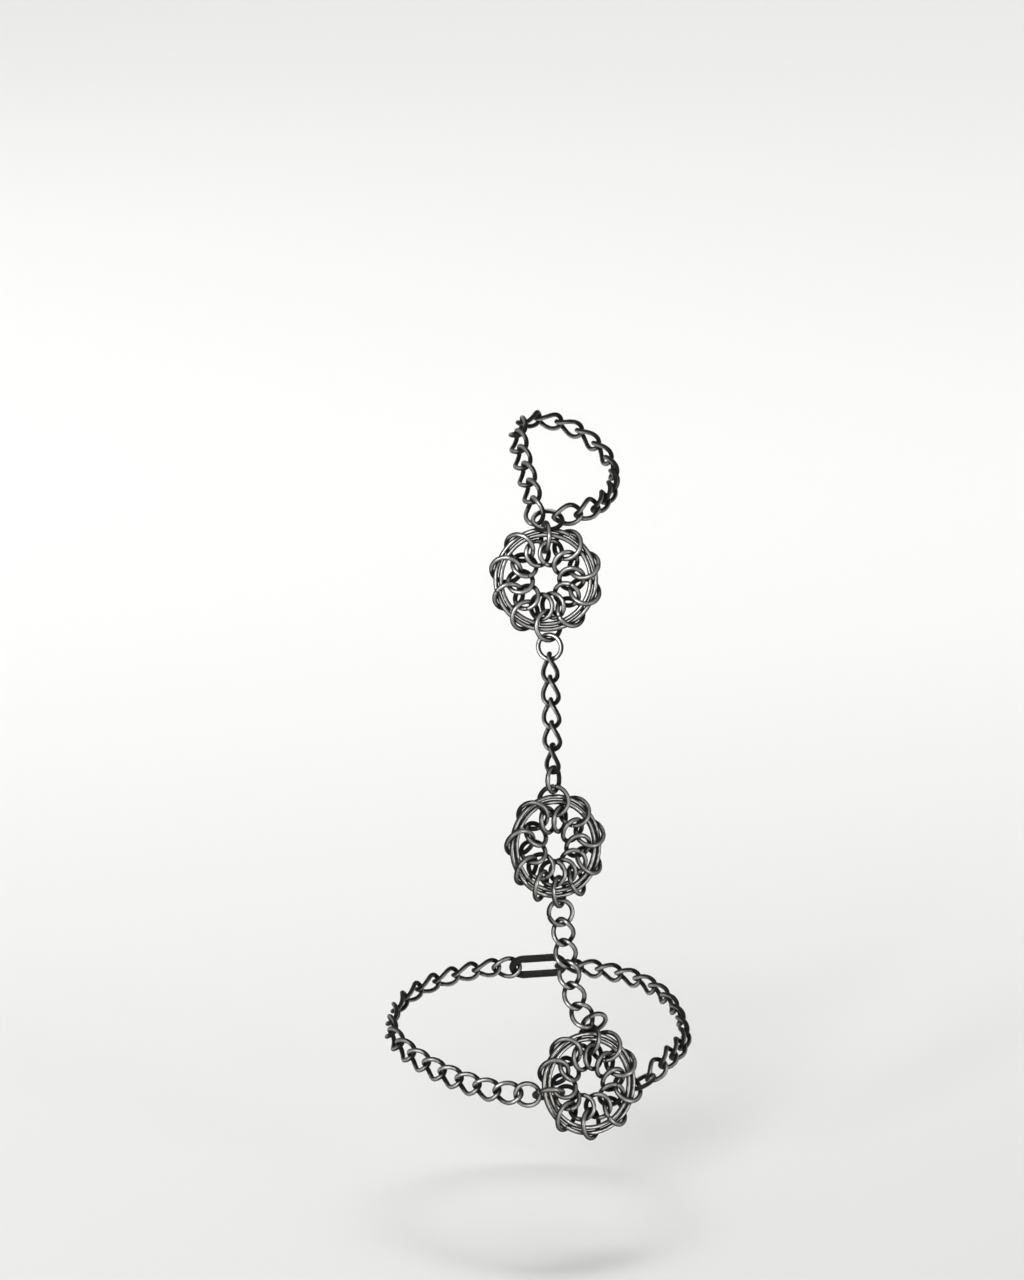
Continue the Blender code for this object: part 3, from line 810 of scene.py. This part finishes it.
def grown(name, tree, places, alongs, outs, **sizes):
    """The mesh that a tree grows on the given places, as a plain object at the origin."""
    points = bpy.data.meshes.new(f"{name}_places")
    points.from_pydata([tuple(place) for place in places], [], [])
    for label, rows in (("along", alongs), ("out", outs)):
        attribute = points.attributes.new(label, "FLOAT_VECTOR", "POINT")
        attribute.data.foreach_set("vector", np.array(rows, np.float32).ravel())
    holder = bpy.data.objects.new(f"{name}_places", points)
    bpy.context.scene.collection.objects.link(holder)
    modifier = holder.modifiers.new("rows", "NODES")
    modifier.node_group = tree
    for item in tree.interface.items_tree:
        if item.in_out == "INPUT" and item.name in sizes:
            modifier[item.identifier] = sizes[item.name]
    bpy.context.view_layer.update()
    evaluated = holder.evaluated_get(bpy.context.evaluated_depsgraph_get())
    mesh = bpy.data.meshes.new_from_object(evaluated)
    holder.modifiers.remove(modifier)
    bpy.data.objects.remove(holder)
    bpy.data.meshes.remove(points)
    if not mesh.polygons:
        raise RuntimeError(f"{name} came out empty")
    mesh.name = name
    mesh.set_sharp_from_angle(angle=math.radians(SHARP_ANGLE))
    piece = bpy.data.objects.new(name, mesh)
    bpy.context.scene.collection.objects.link(piece)
    return piece


@functools.cache
def every_wire():
    """All centre lines as samples, with a number for the wire that each belongs to and the wires' radii."""
    loops, chains = settled_loops()
    order = list(loops.values()) + [link for links in chains.values() for link in links]
    samples = [loop.sampled() for loop in order]
    numbers = np.concatenate([[index] * len(rows) for index, rows in enumerate(samples)])
    radii = np.concatenate([[loop.wire / 2] * len(rows) for loop, rows in zip(order, samples)])
    return np.vstack(samples), numbers, radii, {id(loop): index for index, loop in enumerate(order)}


def paint_patina_and_shade(piece, loops):
    """Stores how dark the metal is at each corner: real blackening with painted shade.

    It is dark where another wire is near, on a wire's flanks, and where it faces into the weave, each a
    painted shade over some real blackening.
    """
    finish = bpy.context.scene.hand_chain_finish
    samples, numbers, radii, index_of = every_wire()
    count = len(piece.data.vertices)
    corners = np.zeros(count * 3)
    piece.data.vertices.foreach_get("co", corners)
    normals = np.zeros(count * 3, np.float32)
    piece.data.vertex_normals.foreach_get("vector", normals)
    corners = corners.reshape(len(loops), -1, 3)
    normals = normals.reshape(len(loops), -1, 3)
    dark = np.zeros(corners.shape[:2])
    for row, loop in enumerate(loops):
        middle = corners[row].mean(axis=0)
        # Painted shade, with some real blackening: the metal is darker near other wires, where they would
        # shade each other
        reach = loop.reach + finish.patina_and_shade_reach + 2 * loop.wire
        near = np.linalg.norm(samples - middle, axis=1) < reach
        near &= numbers != index_of[id(loop)]
        if near.any():
            apart = np.linalg.norm(corners[row][:, None] - samples[near][None], axis=2) - radii[near]
            dark[row] = np.clip(1 - apart.min(axis=1) / finish.patina_and_shade_reach, 0, 1)
        facing = normals[row] @ loop.out
        heart = loop.place if loop.heart is None else loop.heart
        # Painted shade on the back of the weave, where the wires face into it, with some real blackening
        depth = np.clip((corners[row] - heart) @ loop.out / finish.weave_depth, -1, 1)
        inwards = finish.inner_patina_and_shade * np.clip(-facing * depth, 0, 1) ** INWARDS_POWER
        # Painted shade on each wire's flanks, turned away from its face, with a little real blackening
        flanks = finish.flank_patina_and_shade * (1 - np.abs(facing)) ** FLANK_POWER
        dark[row] = 1 - (1 - dark[row]) * (1 - flanks) * (1 - inwards)
    # Stores the painted shade and the blackening together
    attribute = piece.data.attributes.new("patina_and_shade", "FLOAT", "POINT")
    attribute.data.foreach_set("value", dark.astype(np.float32).ravel())


def antiqued_steel(name, shade):
    """Steel wire blackened and then rubbed bright, with the black left where the blackening and the painted
    shade lie.
    """
    finish = bpy.context.scene.hand_chain_finish
    material = bpy.data.materials.new(name)
    material.use_nodes = True
    tree = material.node_tree
    shader = tree.nodes["Principled BSDF"]
    maker = TreeMaker(tree)
    add, maths = maker.add, maker.maths
    place = add("ShaderNodeTexCoord").outputs["Object"]
    clouds = add("ShaderNodeTexNoise", Vector=place, Scale=CLOUD_SCALE, Detail=3.0, Roughness=0.6)
    pits = add("ShaderNodeTexNoise", Vector=place, Scale=PIT_SCALE, Detail=2.0, Roughness=0.55)
    # The painted shade and the blackening, stored on the pieces
    patina_and_shade = add("ShaderNodeAttribute", {"attribute_name": "patina_and_shade"})
    tone = add("ShaderNodeAttribute", {"attribute_name": "tone"})
    worn = maths("MULTIPLY_ADD", clouds.outputs["Fac"], WEAR, WEAR_START)
    # Painted shade and real blackening, with random wear, black the colour and dull the metal
    grime_and_shade = maths("MULTIPLY_ADD", patina_and_shade.outputs["Fac"], PATINA_AND_SHADE_STRENGTH, worn)
    grime_and_shade = add("ShaderNodeClamp", Value=grime_and_shade).outputs[0]
    lights = [channel * shade for channel in finish.bright[:3]] + [1]
    darks = [channel * shade * DULLEST_RING for channel in finish.bright[:3]] + [1]
    bright = add("ShaderNodeMix", {"data_type": "RGBA"}, Factor=tone.outputs["Fac"], _6=darks, _7=lights)
    colour = add(
        "ShaderNodeMix",
        {"data_type": "RGBA"},
        Factor=maths("POWER", grime_and_shade, BLACK_POWER),
        _6=bright.outputs[2],
        _7=list(finish.recess[:3]) + [1],
    )
    rough = maths("MULTIPLY_ADD", grime_and_shade, finish.recess_roughness - finish.roughness, finish.roughness)
    rough = maths("MULTIPLY_ADD", maths("SUBTRACT", pits.outputs["Fac"], 0.5), PIT_ROUGHNESS, rough)
    bump = add(
        "ShaderNodeBump", Strength=finish.pitting, Distance=PIT_DEPTH, Height=pits.outputs["Fac"]
    )
    tree.links.new(colour.outputs[2], shader.inputs["Base Color"])
    tree.links.new(rough, shader.inputs["Roughness"])
    tree.links.new(bump.outputs["Normal"], shader.inputs["Normal"])
    bare = maths("MULTIPLY_ADD", grime_and_shade, finish.black_metallic - 1.0, 1.0)
    tree.links.new(bare, shader.inputs["Metallic"])
    shader.inputs["Specular Tint"].default_value = (EDGE_TINT, EDGE_TINT, EDGE_TINT, 1)
    return material


@functools.cache
def steel(slot):
    return antiqued_steel(f"antiqued_{slot}", SHADES[slot])


def dress(piece, loops, slot, *nodes):
    """Gives a finished piece its blackening and painted shade, and hides the solids that it stands for; its
    slot is not used.
    """
    paint_patina_and_shade(piece, loops)
    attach(piece, "root")
    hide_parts(*nodes)


def seam_turn(loop, degrees):
    """The ring's X turned round it, so that the seam lies at this angle."""
    angle = math.radians(degrees)
    return math.cos(angle) * loop.turn[:, 0] + math.sin(angle) * loop.turn[:, 1]


def ring_piece(name, node, loops, slot, degrees, points=RING_POINTS, sides=RING_WIRE_SIDES):
    """One piece of one or more round rings of one size."""
    sizes = bpy.context.scene.hand_chain_sizes
    piece = grown(
        name,
        ring_tree(),
        [loop.place for loop in loops],
        [seam_turn(loop, angle) for loop, angle in zip(loops, degrees)],
        [loop.turn[:, 2] for loop in loops],
        **{
            "Ring Radius": loops[0].radius,
            "Wire": sizes.wire,
            "Seam Width": sizes.seam_width,
            "Seam Step": sizes.seam_step,
            "Ends Drawn In": sizes.seam_draw_in,
            "Points Round": points,
            "Sides": sides,
            "Seed": sizes.seed + sum(map(ord, name)),
            "Material": steel(slot),
        },
    )
    dress(piece, loops, slot, node)


class HandChainSizes(bpy.types.PropertyGroup):
    """Sizes of the wire and of the small marks of its bending."""

    wire: FloatProperty(
        name="Wire", description="Diameter of the round wire", default=WIRE, unit="LENGTH"
    )
    seam_width: FloatProperty(
        name="Seam width",
        description="Gap left between a ring's two ends",
        default=SEAM_WIDTH,
        unit="LENGTH",
    )
    seam_step: FloatProperty(
        name="Seam step",
        description="How far a ring's two ends miss each other sideways",
        default=SEAM_STEP,
        unit="LENGTH",
    )
    seam_draw_in: FloatProperty(
        name="Ends drawn in",
        description="Width of a ring's cut ends as a share of its wire",
        default=SEAM_DRAW_IN,
        subtype="FACTOR",
    )
    seed: IntProperty(name="Seed", description="Chooses the shade of each ring and link", default=3)


class HandChainFinish(bpy.types.PropertyGroup):
    """Colours, wear and painted shade of the antiqued steel."""

    bright: FloatVectorProperty(
        name="Rubbed steel",
        description="Colour of the steel where it was rubbed bright",
        subtype="COLOR",
        size=3,
        default=(0.43, 0.421, 0.40),
    )
    # The black of the blackened steel, also painted as shade near, beside and behind the wires
    recess: FloatVectorProperty(
        name="Blackened steel",
        description="Colour of the steel where the black was left",
        subtype="COLOR",
        size=3,
        default=(0.009, 0.0088, 0.008),
    )
    roughness: FloatProperty(
        name="Rubbed roughness",
        description="Roughness of the bright steel",
        default=0.26,
        subtype="FACTOR",
    )
    recess_roughness: FloatProperty(
        name="Black roughness",
        description="Roughness of the blackened steel",
        default=0.48,
        subtype="FACTOR",
    )
    black_metallic: FloatProperty(
        name="Black metallic",
        description="How metallic the blackened steel looks",
        default=0.12,
        subtype="FACTOR",
    )
    # How far the painted shade, with the blackening, reaches from another wire
    patina_and_shade_reach: FloatProperty(
        name="Black reaches",
        description="How far from another wire the black reaches",
        default=0.0006,
        unit="LENGTH",
    )
    # Painted shade on the wires' flanks, with a little real blackening
    flank_patina_and_shade: FloatProperty(
        name="Black flanks",
        description="How much black is left on a wire's flanks",
        default=1.0,
        subtype="FACTOR",
    )
    # Painted shade where the wires face into the weave, with some real blackening
    inner_patina_and_shade: FloatProperty(
        name="Black inside",
        description="How much black is left where a wire faces into the weave",
        default=0.95,
        subtype="FACTOR",
    )
    weave_depth: FloatProperty(
        name="Weave depth",
        description="How far from the weave's middle a wire counts as facing fully in or out",
        default=0.0006,
        unit="LENGTH",
    )
    pitting: FloatProperty(
        name="Pitting",
        description="Strength of the fine pits in the surface",
        default=0.35,
        subtype="FACTOR",
    )


class HandChainStage(bpy.types.PropertyGroup):
    """The floor and the lights."""

    floor: FloatVectorProperty(
        name="Floor",
        description="Colour of the floor",
        subtype="COLOR",
        size=3,
        default=(0.70, 0.70, 0.69),
    )
    floor_height: FloatProperty(
        name="Floor height",
        description="Height of the floor, below the worn bracelet",
        default=-0.036,
        unit="LENGTH",
    )
    surroundings: FloatProperty(
        name="Surroundings",
        description="Brightness of the room that the wires reflect",
        default=0.06,
    )
    key_power: FloatProperty(
        name="Light power",
        description="Power that each of the lights takes its share of",
        default=14.0,
        unit="POWER",
    )


class HANDCHAIN_OT_hoops(bpy.types.Operator):
    """Make the two hoops of each rosette"""

    bl_idname = "hand_chain.hoops"
    bl_label = "Hoops"

    def execute(self, context):
        loops, _ = settled_loops()
        for name in ROSETTES:
            for side in ("outer", "inner"):
                node = f"{name}_{side}_hoop"
                hoop, seam = [loops[node]], [SEAMS[node]]
                ring_piece(f"{node}_wire", node, hoop, "hoop_steel", seam, HOOP_POINTS, HOOP_WIRE_SIDES)
        return {"FINISHED"}


class HANDCHAIN_OT_wrap_rings(bpy.types.Operator):
    """Make the ten wrap rings of each rosette"""

    bl_idname = "hand_chain.wrap_rings"
    bl_label = "Wrap rings"

    def execute(self, context):
        loops, _ = settled_loops()
        for name, rosette in ROSETTES.items():
            for number in range(len(rosette["wraps"])):
                node = f"{name}_wrap_ring_{number + 1:02d}"
                seam = SEAM_STEP_ROUND * number % 360
                ring_piece(f"{node}_wire", node, [loops[node]], "ring_steel", [seam])
        return {"FINISHED"}


class HANDCHAIN_OT_centre_rings(bpy.types.Operator):
    """Make the ten rings that link each rosette's wrap rings round its middle"""

    bl_idname = "hand_chain.centre_rings"
    bl_label = "Centre rings"

    def execute(self, context):
        loops, _ = settled_loops()
        for name, rosette in ROSETTES.items():
            count = len(rosette["wraps"])
            rings = [loops[f"{name}_centre_ring_{number + 1:02d}"] for number in range(count)]
            seams = [SEAM_STEP_ROUND * number % 360 for number in range(count)]
            node = f"{name}_centre_rings"
            ring_piece(f"{name}_centre_ring_wires", node, rings, "ring_steel", seams, CENTRE_POINTS)
        return {"FINISHED"}


class HANDCHAIN_OT_jump_rings(bpy.types.Operator):
    """Make the jump rings and the finger ring"""

    bl_idname = "hand_chain.jump_rings"
    bl_label = "Jump rings"

    def execute(self, context):
        loops, _ = settled_loops()
        for number, node in enumerate([*JUMP_RINGS, "finger_ring"]):
            seam = SEAM_STEP_ROUND * number % 360
            ring_piece(f"{node}_wire", node, [loops[node]], "ring_steel", [seam])
        return {"FINISHED"}


class HANDCHAIN_OT_chains(bpy.types.Operator):
    """Make the curb chains, link by link along their routes"""

    bl_idname = "hand_chain.chains"
    bl_label = "Chains"

    def execute(self, context):
        sizes = context.scene.hand_chain_sizes
        _, chains = settled_loops()
        for name, links in chains.items():
            piece = grown(
                f"{name}_links",
                link_tree(),
                [link.place for link in links],
                [link.turn[:, 0] for link in links],
                [link.turn[:, 2] for link in links],
                **{
                    "Link Reach": LINK_REACH * links[0].stretch,
                    "Wire": sizes.wire,
                    "Seed": sizes.seed + len(links),
                    "Material": steel("chain_steel"),
                },
            )
            dress(piece, links, "chain_steel", name)
        return {"FINISHED"}


def swept_loop(name, line, wire, sides):
    """A flat closed line of many points as a round wire, in a mesh about the origin.

    Its faces point inwards, a fault that is still open.
    """
    onwards = np.roll(line, -1, axis=0) - np.roll(line, 1, axis=0)
    onwards /= np.linalg.norm(onwards, axis=1)[:, None]
    side = np.cross(onwards, [0, 0, 1])
    angles = np.arange(sides) * 2 * math.pi / sides
    rows = (
        line[:, None]
        + wire / 2 * np.cos(angles)[None, :, None] * side[:, None]
        + wire / 2 * np.sin(angles)[None, :, None] * np.array([0, 0, 1])
    )
    count = len(line)
    faces = [
        (
            row * sides + turn,
            row * sides + (turn + 1) % sides,
            (row + 1) % count * sides + (turn + 1) % sides,
            (row + 1) % count * sides + turn,
        )
        for row in range(count)
        for turn in range(sides)
    ]
    mesh = bpy.data.meshes.new(name)
    mesh.from_pydata(rows.reshape(-1, 3).tolist(), [], faces)
    mesh.shade_smooth()
    return mesh


class HANDCHAIN_OT_clasp(bpy.types.Operator):
    """Make the plain oval clasp at the back of the wrist"""

    bl_idname = "hand_chain.clasp"
    bl_label = "Clasp"

    def execute(self, context):
        loops, _ = settled_loops()
        loop = loops["wrist_clasp"]
        fine = oval(CLASP_LENGTH - CLASP_WIRE, CLASP_WIDTH - CLASP_WIRE, CLASP_END_POINTS)
        line = split_sides(fine, CLASP_SIDE_PARTS)
        mesh = swept_loop("wrist_clasp_oval", line, CLASP_WIRE, CLASP_ROUND_SIDES)
        mesh.transform(Matrix.Translation(loop.place) @ Matrix(loop.turn.tolist()).to_4x4())
        mesh.materials.append(steel("clasp_steel"))
        tone = mesh.attributes.new("tone", "FLOAT", "POINT")
        tone.data.foreach_set("value", np.full(len(mesh.vertices), CLASP_TONE, np.float32))
        piece = bpy.data.objects.new("wrist_clasp_oval", mesh)
        context.scene.collection.objects.link(piece)
        loop.out = loop.turn[:, 2]  # as it has settled
        dress(piece, [loop], "clasp_steel", "wrist_clasp")
        return {"FINISHED"}


class HANDCHAIN_OT_stage(bpy.types.Operator):
    """Lay the floor, set the lights and the camera"""

    bl_idname = "hand_chain.stage"
    bl_label = "Floor, lights and camera"

    def execute(self, context):
        scene, stage = context.scene, context.scene.hand_chain_stage
        mesh = bpy.data.meshes.new("floor")
        size, height = FLOOR_REACH, stage.floor_height
        mesh.from_pydata(
            [(x * size, y * size, height) for x, y in ((-1, -1), (1, -1), (1, 1), (-1, 1))],
            [],
            [(0, 1, 2, 3)],
        )
        floor = bpy.data.objects.new("floor", mesh)
        scene.collection.objects.link(floor)
        paint = bpy.data.materials.new("pale_floor")
        paint.use_nodes = True
        shader = paint.node_tree.nodes["Principled BSDF"]
        shader.inputs["Base Color"].default_value = (*stage.floor, 1)
        shader.inputs["Roughness"].default_value = FLOOR_ROUGHNESS
        mesh.materials.append(paint)

        world = bpy.data.worlds.new("room")
        world.use_nodes = True
        background = world.node_tree.nodes["Background"]
        background.inputs["Color"].default_value = ROOM_COLOUR
        background.inputs["Strength"].default_value = stage.surroundings
        scene.world = world
        scene.view_settings.view_transform = "Standard"

        for name, (place, target, wide, high, share, spread) in LIGHTS.items():
            light = bpy.data.lights.new(name, "AREA")
            light.shape = "RECTANGLE"
            light.size, light.size_y = wide, high
            light.energy = stage.key_power * share
            light.spread = math.radians(spread)
            lamp = bpy.data.objects.new(name, light)
            lamp.location = place
            aim = Vector(target) - Vector(place)
            lamp.rotation_euler = aim.to_track_quat("-Z", "Y").to_euler()
            scene.collection.objects.link(lamp)

        lens = bpy.data.cameras.new("camera")
        lens.sensor_fit = "VERTICAL"
        lens.sensor_height = CAMERA_SENSOR
        lens.lens = CAMERA_LENS
        lens.clip_start = 0.01
        camera = bpy.data.objects.new("camera", lens)
        camera.location = CAMERA_AT
        camera.rotation_euler = (math.radians(CAMERA_TILT), 0, 0)
        scene.collection.objects.link(camera)
        scene.camera = camera
        return {"FINISHED"}


GROUPS = {
    "hand_chain_sizes": HandChainSizes,
    "hand_chain_finish": HandChainFinish,
    "hand_chain_stage": HandChainStage,
}
OPERATORS = (
    HANDCHAIN_OT_hoops,
    HANDCHAIN_OT_wrap_rings,
    HANDCHAIN_OT_centre_rings,
    HANDCHAIN_OT_jump_rings,
    HANDCHAIN_OT_chains,
    HANDCHAIN_OT_clasp,
    HANDCHAIN_OT_stage,
)


class HANDCHAIN_PT_panel(bpy.types.Panel):
    """Lists the sizes, the finish and what makes each piece"""

    bl_idname = "HANDCHAIN_PT_panel"
    bl_label = "Hand chain bracelet"
    bl_space_type = "VIEW_3D"
    bl_region_type = "UI"
    bl_category = "Hand chain"

    def draw(self, context):
        for scene_name in GROUPS:
            group = getattr(context.scene, scene_name)
            box = self.layout.box()
            for name in group.__annotations__:
                box.prop(group, name)
        for operator in OPERATORS:
            self.layout.operator(operator.bl_idname)


CLASSES = (*GROUPS.values(), *OPERATORS, HANDCHAIN_PT_panel)


def register():
    for one in CLASSES:
        bpy.utils.register_class(one)
    for name, group in GROUPS.items():
        setattr(bpy.types.Scene, name, PointerProperty(type=group))


def unregister():
    for name in GROUPS:
        delattr(bpy.types.Scene, name)
    for one in reversed(CLASSES):
        bpy.utils.unregister_class(one)


def main():
    register()
    for operator in OPERATORS:
        group, name = operator.bl_idname.split(".")
        getattr(getattr(bpy.ops, group), name)()


if __name__ == "__main__":
    main()
